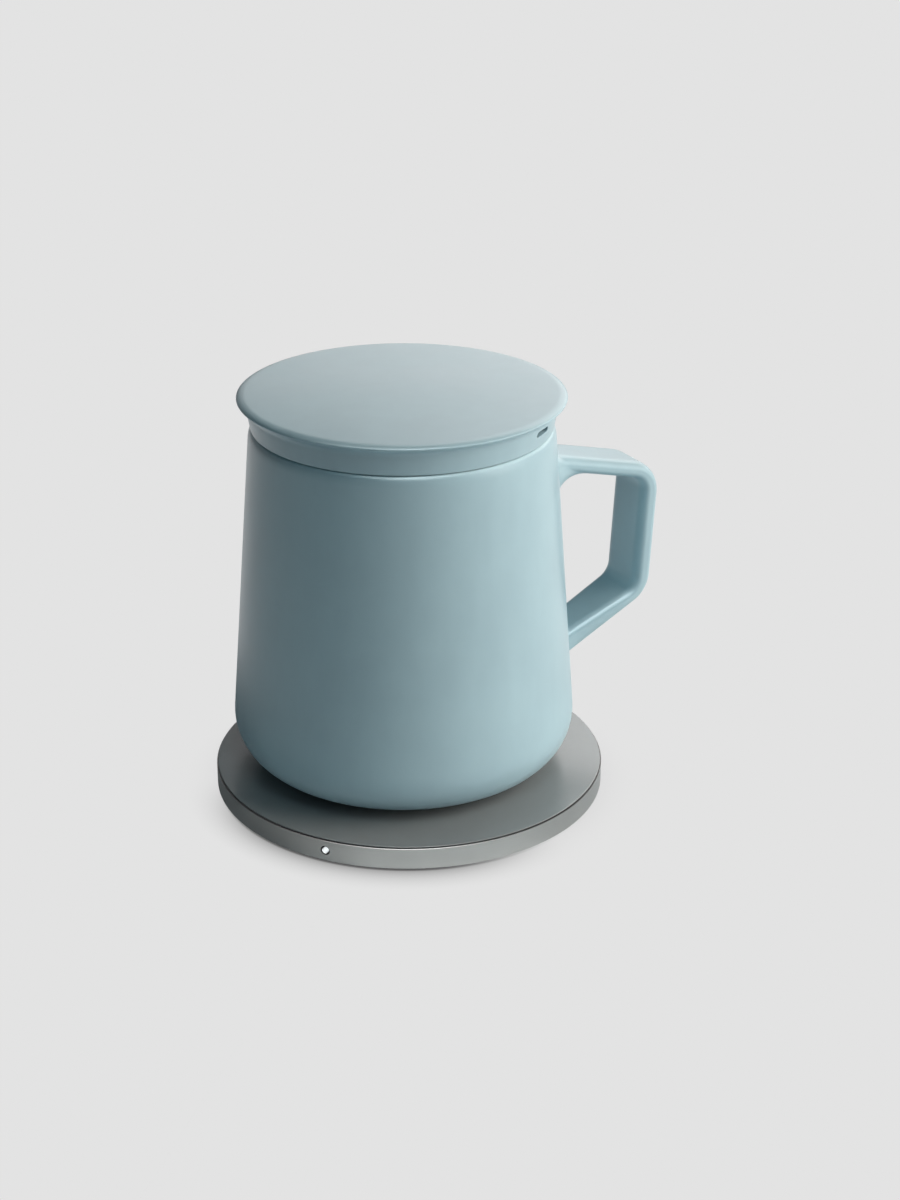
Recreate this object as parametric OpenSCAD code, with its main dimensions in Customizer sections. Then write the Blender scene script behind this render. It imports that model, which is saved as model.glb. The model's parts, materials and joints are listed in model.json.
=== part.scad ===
// Heated ceramic mug with its lid, standing on a round induction warming pad.
// Millimetres. The origin is the middle of the pad's foot, on the table. +Z is up and +X is the handle's side.

/* [Warming pad] */
// Outside diameter of the pad
pad_d = 100; // [98:0.5:110]
// Height of the pad, from the table to its top face
pad_h = 6.5; // [6.4:0.1:7.5]
// Height of the metal rim above the table
pad_lift = 0.6; // [0.4:0.1:0.8]
// Thickness of the metal rim's wall
rim_wall = 2; // [1.8:0.1:2.2]
// Height of the dark gap between the rim and the top plate
shadow_gap = 0.25; // [0.1:0.05:0.3]
// Thickness of the top plate at its visible edge
plate_edge = 0.2; // [0.15:0.05:0.6]
// Thickness of the top plate inside the rim
plate_t = 1.45; // [1.3:0.05:1.6]
// Diameter of the silicone foot disc
foot_d = 83; // [70:1:84]
// Thickness of the base plate
base_t = 1; // [0.9:0.1:1.1]
// Diameter of the indicator lens
lens_d = 2.4; // [2:0.1:3]
// Bearing of the indicator, counted from the handle
lens_bearing = -142.5; // [-170:0.5:-100]

/* [Induction coil] */
// Turns in the flat coil
coil_turns = 9; // [5:1:10]
// Diameter of the coil's stranded wire
wire_d = 1.2; // [0.8:0.1:1.3]
// Radius of the innermost turn
coil_inner_r = 8; // [7:0.5:10]
// Radius of the outermost turn
coil_outer_r = 27.5; // [26:0.5:28]
// Thickness of the ferrite shield
ferrite_t = 0.8; // [0.6:0.1:0.9]

/* [Mug] */
// Outside diameter of the mouth
mouth_d = 75.6; // [72:0.2:80]
// Height of the lip above the pad
mug_h = 90.05; // [84:0.05:96]
// Slope of the side wall, which widens downwards
wall_taper = 4.4; // [3:0.1:5]
// Thickness of the side wall
mug_wall = 3.3; // [3:0.1:4]
// Radius of the rounding from the side to the underside
base_round = 13.1; // [11:0.1:14]
// Thickness of the floor over the heating disc
floor_t = 3.5; // [3:0.1:5]
// Height of the ceramic underside above the pad
underside_gap = 0.65; // [0.5:0.05:1]
// Radius of the rounding on the inside of the lip, and depth of the one on the outside
lip_round = 1.4; // [0.6:0.1:1.5]
// Height of the rounding on the outside of the lip
lip_fall = 3.4; // [1.5:0.1:4]
// Diameter of the heating disc
heater_d = 50; // [44:1:52]
// How far the mug stands off the pad's middle, towards its handle
mug_shift_x = -0.5; // [-3:0.1:3]
// How far the mug stands off the pad's middle, across its handle
mug_shift_y = 1.9; // [-3:0.1:3]

/* [Handle] */
// Width of the handle
handle_w = 15.5; // [12:0.5:18]
// Thickness of the grip
grip_t = 4.9; // [4:0.1:6]
// Thickness of the upper arm
arm_top_t = 4.3; // [4:0.1:6]
// Thickness of the lower arm
arm_low_t = 3.9; // [3.8:0.1:6]
// Radius of the handle's long edges
handle_edge = 1.8; // [1:0.1:1.9]
// Distance from the mug's axis to the upper corner
corner_top_x = 70.3; // [68:0.1:74]
// Height of the upper corner above the table
corner_top_z = 73.4; // [70:0.1:76]
// Distance from the mug's axis to the lower corner
corner_low_x = 68.3; // [66:0.1:70]
// Height of the lower corner above the table
corner_low_z = 40.6; // [38:0.1:44]
// Slope of the upper arm, which falls outwards
arm_top_slope = 14; // [8:0.5:18]
// Slope of the lower arm, which rises outwards
arm_low_slope = 28; // [22:0.5:32]
// Bend radius of the upper corner
bend_top_r = 6.5; // [4:0.1:8]
// Bend radius of the lower corner
bend_low_r = 7; // [4:0.1:8]
// Radius of the fillet under the upper arm, where it joins the body
top_fillet_r = 13; // [3:0.5:14]
// Radius of the fillet above the lower arm
low_fillet_r = 6; // [3:0.5:10]
// Radius of the fillets on the outer faces of the arms
back_fillet_r = 2; // [1:0.5:4]
// Fillets on the sides of the arms, as a share of the fillets in the finger gap
side_share = 0.5; // [0.3:0.05:0.9]

/* [Lid] */
// Diameter of the lid
lid_d = 81; // [79:0.1:84]
// Height of the lid's neck
neck_h = 4.25; // [4:0.05:6]
// How far the foot of the neck lies inside the edge of the mouth
neck_inset = 0.5; // [0:0.1:0.8]
// Widening of the neck's radius on its way up
neck_slant = 0.8; // [0:0.05:1]
// Height of the flare from the neck out to the edge
flare_h = 2.85; // [2:0.05:3.5]
// Thickness of the lid's rounded edge
lid_edge_t = 0.6; // [0.4:0.1:1]
// Height of the soft shoulder above the edge
shoulder_h = 0.7; // [0.4:0.05:1]
// Rise of the lid's middle above its shoulder
lid_crown = 0.8; // [0.4:0.1:2]
// Gap between the lid's neck and the lip, filled by the seal
seal_gap = 0.2; // [0.2:0.05:0.5]
// Depth of the lid's skirt below the lip
skirt_depth = 7; // [5:0.5:10]
// Width of the vent slot
vent_w = 6; // [5:0.5:10]
// Height of the vent slot
vent_h = 1.4; // [1.2:0.1:2.6]
// Bearing of the vent slot, counted from the handle
vent_bearing = -56; // [-70:0.2:-40]

/* [Hidden] */

$fn = 96;
eps = 0.01;
fit_gap = 0.05;
cut = 1;

glaze = [0.50, 0.62, 0.66];
dark_grey = [0.28, 0.29, 0.30];
aluminium = [0.62, 0.61, 0.59];
black_plastic = [0.08, 0.08, 0.09];
board_green = [0.05, 0.25, 0.16];
copper = [0.72, 0.42, 0.24];

// Levels and radii of the pad
pad_r = pad_d / 2;
rim_in_r = pad_r - rim_wall;
rim_top = pad_h - plate_edge - shadow_gap;
rim_chamfer = 0.12;
indicator_z = (pad_lift + rim_top) / 2;
plate_inset = 0.3;
plate_r = pad_r - plate_inset;
plate_round = 0.12;
plate_under = pad_h - plate_t;
plate_step_gap = 0.3;
inset_r = rim_in_r - plate_step_gap;
foot_recess = 0.3;
foot_top = pad_lift + foot_recess;
base_top = pad_lift + base_t;

// Four screws hold the base plate to lugs inside the rim
screw_inset = 3;
screw_ring_r = rim_in_r - screw_inset;
screw_r = 1;
screw_head_r = 1.9;
screw_head_h = 0.7;
screw_len = 3.2;
lug_r = 2.6;
lug_h = 2.6;
lug_shift = 0.9;
hole_gap = 0.15;
thread_gap = 0.03;
screw_bearings = [for (i = [0 : 3]) lens_bearing + 45 + 90 * i];

// Coil stack, from the base plate up to the top plate
carrier_r = 31;
carrier_floor = 1.1;
carrier_wall = 1.2;
carrier_wall_h = 2.6;
ferrite_gap = 0.2;
ferrite_r = carrier_r - carrier_wall - ferrite_gap;
ferrite_z = base_top + fit_gap + carrier_floor;
coil_z = ferrite_z + ferrite_t + fit_gap + wire_d / 2;
sensor_r = 3;
lead_w = 1.3;
lead_notch_w = 8.4;
lead_notch_l = 6;

// Circuit board, a ring around the coil with a tab under the inlet
board_gap = 0.6;
board_in_r = carrier_r + board_gap;
board_out_r = 42;
board_mid_r = (board_in_r + board_out_r) / 2;
board_z = 2.3;
board_t = 0.8;
board_top = board_z + board_t;
post_r = 1.5;
post_turn = 20;

// Power inlet of the common small reversible kind, opposite the indicator
usb_bearing = lens_bearing + 180;
usb_w = 8.94;
usb_h = 3.2;
usb_wall = 0.3;
usb_len = 7.3;
usb_z = 3.3;
usb_inset = 0.8;
usb_mouth_x = pad_r - usb_inset;
usb_cut = 0.15;

// Side wall of the mug: radius at a height, measured on the outside
lip_z = pad_h + mug_h;
under_z = pad_h + underside_gap;
function wall_r(z, inset = 0) = mouth_d / 2 + tan(wall_taper) * (lip_z - z) - inset / cos(wall_taper);

// Centre of an arc of radius r that touches the wall and a level floor
function corner_arc(floor_z, r, inset = 0) = [wall_r(floor_z + r, inset) - r / cos(wall_taper), floor_z + r];

// Point where that arc leaves the wall
function wall_touch(c, r) = c + r * [cos(wall_taper), sin(wall_taper)];

heater_t = 0.8;
cap_t = 1.2;
recess_gap = 0.3;
cap_seam = 0.1;
recess_r = heater_d / 2 + recess_gap;
recess_h = heater_t + cap_t + 2 * cap_seam;
floor_z = under_z + recess_h + floor_t;
cavity_round = 9;
foot_ring_r = 28.6;
foot_ring_w = 2.4;
foot_ring_up = 1.2;
mouth_in_r = wall_r(lip_z, mug_wall);

// Lid levels
seat_z = lip_z + seal_gap;
neck_r = mouth_d / 2 - neck_inset;
neck_top_r = neck_r + neck_slant;
edge_r = lid_edge_t / 2;
edge_x = lid_d / 2 - edge_r;
flare_z = seat_z + neck_h;
flare_out = edge_x - neck_top_r;
flare_r = (flare_out * flare_out + flare_h * flare_h) / (2 * flare_out);
edge_z = flare_z + flare_h + edge_r;
shoulder_run = 2.3;
shoulder_x = lid_d / 2 - shoulder_run;
skirt_gap = 1.3;
skirt_r = mouth_in_r - skirt_gap;
skirt_wall = 2;
roof_drop = 1.7;
seal_t = 0.7;
seal_fin = 0.3;
vent_drop = 0.6;
vent_z = flare_z - vent_drop;

// Handle path in the plane of its bend, from the upper root to the lower root
function along(angle) = [cos(angle), sin(angle)];
corner_top = [corner_top_x, corner_top_z];
corner_low = [corner_low_x, corner_low_z];
grip_run = corner_low - corner_top;
arm_top_dir = -arm_top_slope;
grip_dir = atan2(grip_run[1], grip_run[0]);
arm_low_dir = -180 + arm_low_slope;
turn_top = arm_top_dir - grip_dir;
turn_low = grip_dir - arm_low_dir;

// Ring of rectangular section between two radii and two levels
module ring(r_in, r_out, z_low, z_high) {
  rotate_extrude()
    translate([r_in, z_low])
      square([r_out - r_in, z_high - z_low]);
}

// Upright disc between two levels
module disc(r, z_low, z_high) {
  translate([0, 0, z_low])
    cylinder(r = r, h = z_high - z_low);
}

// Copies its child at a bearing, a distance out from the axis
module at_bearing(bearing, distance = 0) {
  rotate([0, 0, bearing])
    translate([distance, 0, 0])
      children();
}

// Sets its child on the pad where the mug stands
module on_pad() {
  translate([mug_shift_x, mug_shift_y, 0])
    children();
}

// Upright block centred on x and y
module block(x, y, z_low, z_high) {
  translate([-x / 2, -y / 2, z_low])
    cube([x, y, z_high - z_low]);
}

// Bar with round ends across y, running along x from 0
module stadium_bar(w, h, length) {
  rotate([90, 0, 90])
    linear_extrude(height = length)
      union() {
        square([w - h, h], center = true);
        for (side = [-1, 1])
          translate([side * (w - h) / 2, 0])
            circle(d = h, $fn = 48);
      }
}

// Soft disc that keeps the pad from sliding
module foot_pad() {
  chamfer = 0.2;
  color(black_plastic)
    rotate_extrude()
      polygon([
        [0, 0],
        [foot_d / 2 - chamfer, 0],
        [foot_d / 2, chamfer],
        [foot_d / 2, foot_top],
        [0, foot_top]
      ]);
}

// Moulded plate that closes the pad from below, with posts for the board
module base_plate() {
  color(black_plastic)
    difference() {
      union() {
        disc(inset_r, pad_lift, base_top);
        for (i = [0 : 3])
          at_bearing(lens_bearing + post_turn + 90 * i, board_mid_r)
            disc(post_r, base_top - eps, board_z);
      }
      disc(foot_d / 2 + fit_gap, pad_lift - cut, foot_top);
      for (bearing = screw_bearings)
        at_bearing(bearing, screw_ring_r) {
          disc(screw_r + hole_gap, pad_lift - cut, base_top + cut);
          disc(screw_head_r + hole_gap, pad_lift - cut, pad_lift + screw_head_h);
        }
    }
}

// Flat-headed screws with a six-sided recess
module base_screws() {
  socket_r = 0.75;
  socket_depth = 0.45;
  color("dimgray")
    for (bearing = screw_bearings)
      at_bearing(bearing, screw_ring_r)
        difference() {
          union() {
            disc(screw_head_r, pad_lift, pad_lift + screw_head_h);
            disc(screw_r, pad_lift + screw_head_h - eps, pad_lift + screw_len);
          }
          translate([0, 0, pad_lift - cut])
            cylinder(r = socket_r, h = cut + socket_depth, $fn = 6);
        }
}

// Turned metal ring with lugs for the screws, a hole for the lens and a slot for the inlet
module rim_housing() {
  lug_low = base_top + fit_gap;
  lug_high = lug_low + lug_h;
  color(aluminium)
    difference() {
      union() {
        rotate_extrude($fn = 180)
          polygon([
            [rim_in_r, pad_lift],
            [pad_r - rim_chamfer, pad_lift],
            [pad_r, pad_lift + rim_chamfer],
            [pad_r, rim_top - rim_chamfer],
            [pad_r - rim_chamfer, rim_top],
            [rim_in_r, rim_top]
          ]);
        intersection() {
          for (bearing = screw_bearings)
            at_bearing(bearing, screw_ring_r + lug_shift)
              disc(lug_r, lug_low, lug_high);
          disc(rim_in_r + rim_wall / 2, lug_low - cut, lug_high + cut);
        }
      }
      for (bearing = screw_bearings)
        at_bearing(bearing, screw_ring_r)
          disc(screw_r + thread_gap, lug_low - cut, lug_high + cut);
      at_bearing(lens_bearing, rim_in_r - cut)
        translate([0, 0, indicator_z])
          rotate([0, 90, 0])
            cylinder(d = lens_d + 2 * fit_gap, h = rim_wall + 2 * cut);
      at_bearing(usb_bearing, rim_in_r - cut)
        translate([0, 0, usb_z])
          stadium_bar(usb_w + 2 * usb_cut, usb_h + 2 * usb_cut, rim_wall + 2 * cut);
    }
}

// Thin adhesive ring that bonds the top plate to the rim and shows as the dark gap
module gap_gasket() {
  inset = 0.7;
  color(black_plastic)
    ring(rim_in_r + 2 * fit_gap, pad_r - inset, rim_top, pad_h - plate_edge);
}

// Satin plate that the mug stands on, stepped to drop inside the rim
module top_plate() {
  edge_low = pad_h - plate_edge;
  color(dark_grey)
    rotate_extrude($fn = 180)
      union() {
        polygon([
          [0, plate_under],
          [inset_r, plate_under],
          [inset_r, edge_low],
          [plate_r, edge_low],
          [plate_r, pad_h - plate_round],
          [plate_r - plate_round, pad_h - plate_round],
          [plate_r - plate_round, pad_h],
          [0, pad_h]
        ]);
        translate([plate_r - plate_round, pad_h - plate_round])
          circle(r = plate_round, $fn = 32);
      }
}

// Tray that holds the ferrite and the coil, with a notch for the leads
module coil_carrier() {
  z_low = base_top + fit_gap;
  color("gainsboro")
    difference() {
      disc(carrier_r, z_low, z_low + carrier_wall_h);
      disc(carrier_r - carrier_wall, ferrite_z, z_low + carrier_wall_h + cut);
      at_bearing(usb_bearing, carrier_r)
        block(lead_notch_l, lead_notch_w, ferrite_z, z_low + carrier_wall_h + cut);
    }
}

// Ferrite plate with a slot in which the inner lead runs out under the coil
module ferrite_shield() {
  slot_w = lead_w + 0.3;
  slot_start = coil_inner_r - 1.5;
  color("darkslategray")
    difference() {
      disc(ferrite_r, ferrite_z + fit_gap / 2, ferrite_z + ferrite_t);
      at_bearing(usb_bearing)
        translate([slot_start, -slot_w / 2, ferrite_z - cut])
          cube([carrier_r, slot_w, ferrite_t + 2 * cut]);
    }
}

// Faces of a closed tube made of rings with the same number of sides
function tube_faces(rings, sides) = concat(
  [
    for (i = [0 : rings - 2])
      for (s = [0 : sides - 1])
        let (a = i * sides + s, b = i * sides + (s + 1) % sides)
          each [[a, b, b + sides], [a, b + sides, a + sides]]
  ],
  [for (s = [1 : sides - 2]) [0, s + 1, s]],
  [for (s = [1 : sides - 2]) let (last = (rings - 1) * sides) [last, last + s, last + s + 1]]
);

// Flat spiral of wire: 24 rings a turn, six sides, one unbroken tube with straight ends
coil_sides = 6;
coil_rings = 24;
coil_steps = coil_turns * coil_rings;
coil_pitch = (coil_outer_r - coil_inner_r) / coil_turns;
function unit(v) = v / norm(v);
function coil_r(i) = coil_inner_r + coil_pitch * i / coil_rings;
function coil_point(i) = coil_r(i) * along(360 * i / coil_rings);
coil_run_in = unit(coil_point(1) - coil_point(0));
coil_run_out = unit(coil_point(coil_steps) - coil_point(coil_steps - 1));
coil_path = concat(
  [coil_point(0) - wire_d * coil_run_in],
  [for (i = [0 : coil_steps]) coil_point(i)],
  [coil_point(coil_steps) + wire_d * coil_run_out]
);
coil_count = len(coil_path);
function coil_heading(i) = unit(coil_path[min(i + 1, coil_count - 1)] - coil_path[max(i - 1, 0)]);
function coil_ring(i) = [
  for (s = [0 : coil_sides - 1])
    let (side = [coil_heading(i)[1], -coil_heading(i)[0]], a = 360 * (s + 0.5) / coil_sides)
      [
        coil_path[i][0] + side[0] * wire_d / 2 * cos(a),
        coil_path[i][1] + side[1] * wire_d / 2 * cos(a),
        wire_d / 2 * sin(a)
      ]
];

// Least distance between neighbouring turns, less the wire
coil_gap = min([
  for (i = [0 : coil_steps - coil_rings - 2])
    for (j = [i + coil_rings - 1 : i + coil_rings + 1])
      norm(coil_path[j] - coil_path[i])
]) - wire_d;
echo(coil_gap = coil_gap);

module induction_coil() {
  points = [for (i = [0 : coil_count - 1]) each coil_ring(i)];
  color(copper)
    rotate([0, 0, usb_bearing])
      translate([0, 0, coil_z])
        polyhedron(points = points, faces = tube_faces(coil_count, coil_sides));
}

// Two flat leads from the coil's ends to the board, the inner one below the turns
module coil_leads() {
  lead_t = 0.6;
  lead_end = board_in_r + 3;
  rise_l = 0.6;
  rise_x = board_in_r - 2 * fit_gap - rise_l;
  inner_x = coil_inner_r - lead_w / 2;
  inner_low = ferrite_z + fit_gap;
  inner_high = ferrite_z + ferrite_t - fit_gap;
  outer_x = coil_outer_r - lead_w / 2;
  outer_y = wire_d + 2 * fit_gap;
  color(copper)
    at_bearing(usb_bearing) {
      translate([inner_x, -lead_w / 2, inner_low])
        cube([rise_x + rise_l - inner_x, lead_w, inner_high - inner_low]);
      translate([rise_x, -lead_w / 2, board_top])
        cube([lead_end - rise_x, lead_w, lead_t]);
      translate([outer_x, outer_y, coil_z - lead_t / 2])
        cube([lead_end - outer_x, lead_w, lead_t]);
      translate([lead_end - rise_l, outer_y, board_top])
        cube([rise_l, lead_w, coil_z - board_top]);
    }
}

// Temperature sensor in the middle of the coil, pressed up to the top plate
module temperature_sensor() {
  groove_w = 0.6;
  groove_depth = 0.5;
  color("ivory")
    difference() {
      disc(sensor_r, ferrite_z + ferrite_t, plate_under - fit_gap);
      at_bearing(usb_bearing + 90)
        block(2 * sensor_r + cut, groove_w, plate_under - groove_depth, plate_under + cut);
    }
}

// Board ring with a tab that reaches around the inlet
module control_board() {
  tab_start = board_in_r + 4;
  tab_end = usb_mouth_x - 3;
  tab_w = usb_w + 5;
  inlet_gap = 0.2;
  color(board_green)
    difference() {
      union() {
        ring(board_in_r, board_out_r, board_z, board_top);
        at_bearing(usb_bearing)
          translate([tab_start, -tab_w / 2, board_z])
            cube([tab_end - tab_start, tab_w, board_t]);
      }
      at_bearing(usb_bearing)
        translate([usb_mouth_x - usb_len - inlet_gap, -usb_w / 2 - inlet_gap, board_z - cut])
          cube([usb_len + cut, usb_w + 2 * inlet_gap, board_t + 2 * cut]);
    }
}

// Parts on the board stand at a bearing from the inlet, in the middle of the ring
module driver_chip() {
  turn = 60;
  chip_w = 5;
  chip_h = 0.9;
  color("black")
    at_bearing(usb_bearing + turn, board_mid_r)
      block(chip_w, chip_w, board_top, board_top + chip_h);
}

module bridge_transistors() {
  first = -36;
  step = -13;
  side = 3.3;
  height = 0.8;
  color("black")
    for (i = [0 : 3])
      at_bearing(usb_bearing + first + step * i, board_mid_r)
        block(side, side, board_top, board_top + height);
}

module resonance_capacitors() {
  first = 90;
  step = 12;
  length = 5.7;
  width = 5;
  height = 1.6;
  color("peru")
    for (i = [0 : 4])
      at_bearing(usb_bearing + first + step * i, board_mid_r)
        block(length, width, board_top, board_top + height);
}

// Shielded choke with its round core showing in a square base
module power_inductor() {
  turn = -105;
  base_w = 7;
  base_h = 0.9;
  core_r = 3;
  core_h = 0.8;
  color("dimgray")
    at_bearing(usb_bearing + turn, board_mid_r) {
      block(base_w, base_w, board_top, board_top + base_h);
      disc(core_r, board_top + base_h - eps, board_top + base_h + core_h);
    }
}

// Side-firing lamp at the edge of the board, behind the lens
module status_led() {
  led_w = 2.4;
  led_l = 1.2;
  led_h = 1;
  color("white")
    at_bearing(lens_bearing, board_out_r - led_l / 2)
      block(led_l, led_w, board_top, board_top + led_h);
}

// Clear light pipe through the rim, with a shallow domed face
module indicator_lens() {
  led_gap = 0.5;
  dome_h = 0.35;
  pipe_start = board_out_r + led_gap;
  dome_r = lens_d;
  dome_back = sqrt(dome_r * dome_r - lens_d * lens_d / 4);
  face_x = pad_r - dome_h;
  color([0.9, 0.92, 0.95])
    at_bearing(lens_bearing)
      translate([0, 0, indicator_z])
        rotate([0, 90, 0])
          intersection() {
            translate([0, 0, pipe_start])
              cylinder(d = lens_d, h = pad_r - pipe_start);
            union() {
              translate([0, 0, pipe_start - cut])
                cylinder(d = 2 * lens_d, h = face_x - pipe_start + cut);
              translate([0, 0, face_x - dome_back])
                sphere(r = dome_r);
            }
          }
}

// Drawn metal shell of the inlet, closed at the back
module usb_shell() {
  color("silver")
    at_bearing(usb_bearing, usb_mouth_x - usb_len)
      translate([0, 0, usb_z])
        difference() {
          stadium_bar(usb_w, usb_h, usb_len);
          translate([usb_wall, 0, 0])
            stadium_bar(usb_w - 2 * usb_wall, usb_h - 2 * usb_wall, usb_len);
        }
}

// Contact tongue on a block at the back of the shell
module usb_tongue() {
  back_t = 1.6;
  tongue_w = 6.6;
  tongue_t = 0.7;
  tongue_l = usb_len - back_t - 1;
  inner_w = usb_w - 2 * usb_wall - 2 * fit_gap;
  inner_h = usb_h - 2 * usb_wall - 2 * fit_gap;
  color(black_plastic)
    at_bearing(usb_bearing, usb_mouth_x - usb_len + usb_wall + eps)
      translate([0, 0, usb_z]) {
        stadium_bar(inner_w, inner_h, back_t);
        translate([back_t - eps, -tongue_w / 2, -tongue_t / 2])
          cube([tongue_l, tongue_w, tongue_t]);
      }
}

// Half section of the mug's outside: base rounding, wall, and a lip that falls away in a quarter of an ellipse
module mug_outline() {
  base_c = corner_arc(under_z, base_round);
  touch = wall_touch(base_c, base_round);
  lip_reach = norm([lip_round * cos(wall_taper), lip_fall * sin(wall_taper)]);
  lip_c = [wall_r(lip_z - lip_fall) - lip_reach / cos(wall_taper), lip_z - lip_fall];
  lip_start = atan(lip_fall / lip_round * tan(wall_taper));
  lip_steps = 10;
  lip_arc = [
    for (i = [0 : lip_steps])
      let (turn = lip_start + (90 - lip_start) * i / lip_steps)
        lip_c + [lip_round * cos(turn), lip_fall * sin(turn)]
  ];
  polygon(concat([[0, under_z], [base_c[0], under_z], base_c, touch], lip_arc, [[0, lip_z]]));
  translate(base_c)
    circle(r = base_round, $fn = 180);
}

// Half section of the space inside the mug, opening in a rounding at the lip
module mug_cavity() {
  floor_c = corner_arc(floor_z, cavity_round, mug_wall);
  touch = wall_touch(floor_c, cavity_round);
  polygon([
    [0, floor_z],
    [floor_c[0], floor_z],
    floor_c,
    touch,
    [mouth_in_r, lip_z],
    [mouth_in_r, lip_z + cut],
    [0, lip_z + cut]
  ]);
  translate(floor_c)
    circle(r = cavity_round, $fn = 120);
  difference() {
    translate([mouth_in_r - eps, lip_z - lip_round])
      square([lip_round, lip_round + cut]);
    translate([mouth_in_r + lip_round, lip_z - lip_round])
      circle(r = lip_round, $fn = 48);
  }
}

// Glazed ceramic body with a recess for the heating disc and a groove for the foot ring
module mug_body() {
  color(glaze)
    rotate_extrude($fn = 180)
      difference() {
        mug_outline();
        mug_cavity();
        translate([0, under_z - cut])
          square([recess_r, recess_h + cut]);
        translate([foot_ring_r - foot_ring_w / 2, under_z - cut])
          square([foot_ring_w, foot_ring_up + cut]);
      }
}

// Extra size of the handle at a distance from the wall, following most of a quarter round of radius r
flare_start = 0.2;
function flare(gap, r) = gap >= r ? 0 : r - sqrt(r * r - pow(r - max(gap, flare_start * r), 2));

// Share of the way from the wall to the free arm, eased at both ends
function ease(t) = let (k = min(max(t, 0), 1)) k * k * (3 - 2 * k);

// Stations along the handle: point in the bend plane, heading of the section, distance from the wall,
// thickness and radius of the fillet in the finger gap
function root_station(wall_point, heading, gap, t, fillet_r) = [
  wall_point + gap * along(heading),
  wall_taper + (heading - wall_taper) * ease(gap / root_blend),
  gap,
  t,
  fillet_r
];
function bend_station(corner, heading, turn, r, k, t) =
  let (
    start = corner - r * tan(turn / 2) * along(heading),
    centre = start + r * along(heading - 90)
  )
    [centre + r * along(heading + 90 - turn * k), heading - turn * k, root_blend, t, 0];

root_blend = 14;
root_depth = 1.5;
root_steps = 10;
root_gaps = concat([-root_depth], [for (i = [0 : root_steps]) root_blend * pow(i / root_steps, 1.5)]);
bend_steps = 9;
function mix(a, b, k) = a + (b - a) * k;

// The arms' centre lines meet the wall here
function arm_meet(corner, slope, side) =
  let (
    wall_slope = tan(wall_taper),
    z_axis = corner[1] + side * tan(slope) * corner[0],
    x = (mouth_d / 2 + wall_slope * (lip_z - z_axis)) / (1 - side * wall_slope * tan(slope))
  )
    [x, z_axis - side * tan(slope) * x];
meet_top = arm_meet(corner_top, arm_top_slope, 1);
meet_low = arm_meet(corner_low, arm_low_slope, -1);
root_last = len(root_gaps) - 1;

handle_stations = concat(
  [for (gap = root_gaps) root_station(meet_top, arm_top_dir, gap, arm_top_t, top_fillet_r)],
  [
    for (i = [0 : bend_steps])
      let (k = i / bend_steps)
        bend_station(corner_top, arm_top_dir, turn_top, bend_top_r, k, mix(arm_top_t, grip_t, k))
  ],
  [
    for (i = [0 : bend_steps])
      let (k = i / bend_steps)
        bend_station(corner_low, grip_dir, turn_low, bend_low_r, k, mix(grip_t, arm_low_t, k))
  ],
  [
    for (i = [root_last : -1 : 0])
      root_station(meet_low, arm_low_slope, root_gaps[i], arm_low_t, low_fillet_r)
  ]
);

// Section of the handle at a station: a rounded bar, wider and deeper near the wall, which it wraps
corner_steps = 4;
section_sides = 4 * (corner_steps + 1);
function handle_ring(station, outward) =
  let (
    heading = station[1],
    normal = outward * along(heading + 90),
    half_w = handle_w / 2 + flare(station[2], side_share * station[4]),
    outer = station[3] / 2 + flare(station[2], back_fillet_r),
    inner = station[3] / 2 + flare(station[2], station[4]),
    wrap = (1 - ease(station[2] / root_blend)) / (2 * station[0][0])
  )
    [
      for (q = [0 : 3])
        for (i = [0 : corner_steps])
          let (
            a = 90 * q + 90 * i / corner_steps,
            side = q == 0 || q == 3 ? 1 : -1,
            face = q < 2 ? outer : inner,
            up = q < 2 ? 1 : -1,
            y = side * (half_w - handle_edge) + handle_edge * cos(a),
            n = up * (face - handle_edge) + handle_edge * sin(a)
          )
            [station[0][0] + n * normal[0] - wrap * y * y, -y, station[0][1] + n * normal[1]]
    ];

// Handle joined to the side of the mug: two arms, a grip and two bends in one piece
module handle() {
  count = len(handle_stations);
  low_start = count - len(root_gaps);
  points = [
    for (i = [0 : count - 1])
      each handle_ring(handle_stations[i], i < low_start ? 1 : -1)
  ];
  color(glaze)
    polyhedron(points = points, faces = tube_faces(count, section_sides));
}

// Steel disc under the ceramic floor, warmed by the pad's coil
module heating_disc() {
  color("slategray")
    disc(heater_d / 2, under_z + recess_h - heater_t, under_z + recess_h);
}

// Disc that closes the heating disc's recess, flush with the underside
module base_cap() {
  color([0.75, 0.77, 0.78])
    disc(recess_r - cap_seam, under_z + cap_seam, under_z + cap_seam + cap_t);
}

// Soft ring that the mug stands on
module foot_ring() {
  side = foot_ring_w / 2 - fit_gap;
  soft_round = 0.4;
  z_low = pad_h + fit_gap;
  z_high = under_z + foot_ring_up - fit_gap;
  color(dark_grey)
    rotate_extrude($fn = 120)
      translate([foot_ring_r, 0])
        polygon([
          [-side, z_low + soft_round],
          [-side + soft_round, z_low],
          [side - soft_round, z_low],
          [side, z_low + soft_round],
          [side, z_high],
          [-side, z_high]
        ]);
}

// Height of the lid's top at a radius: a shallow swell, and a shoulder that drops in a quarter of an ellipse
function lid_top(r) =
  let (reach = max(r - shoulder_x, 0) / shoulder_run)
    edge_z + lid_crown * (1 - pow(2 * r / lid_d, 2)) + shoulder_h * sqrt(max(1 - reach * reach, 0));

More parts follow.
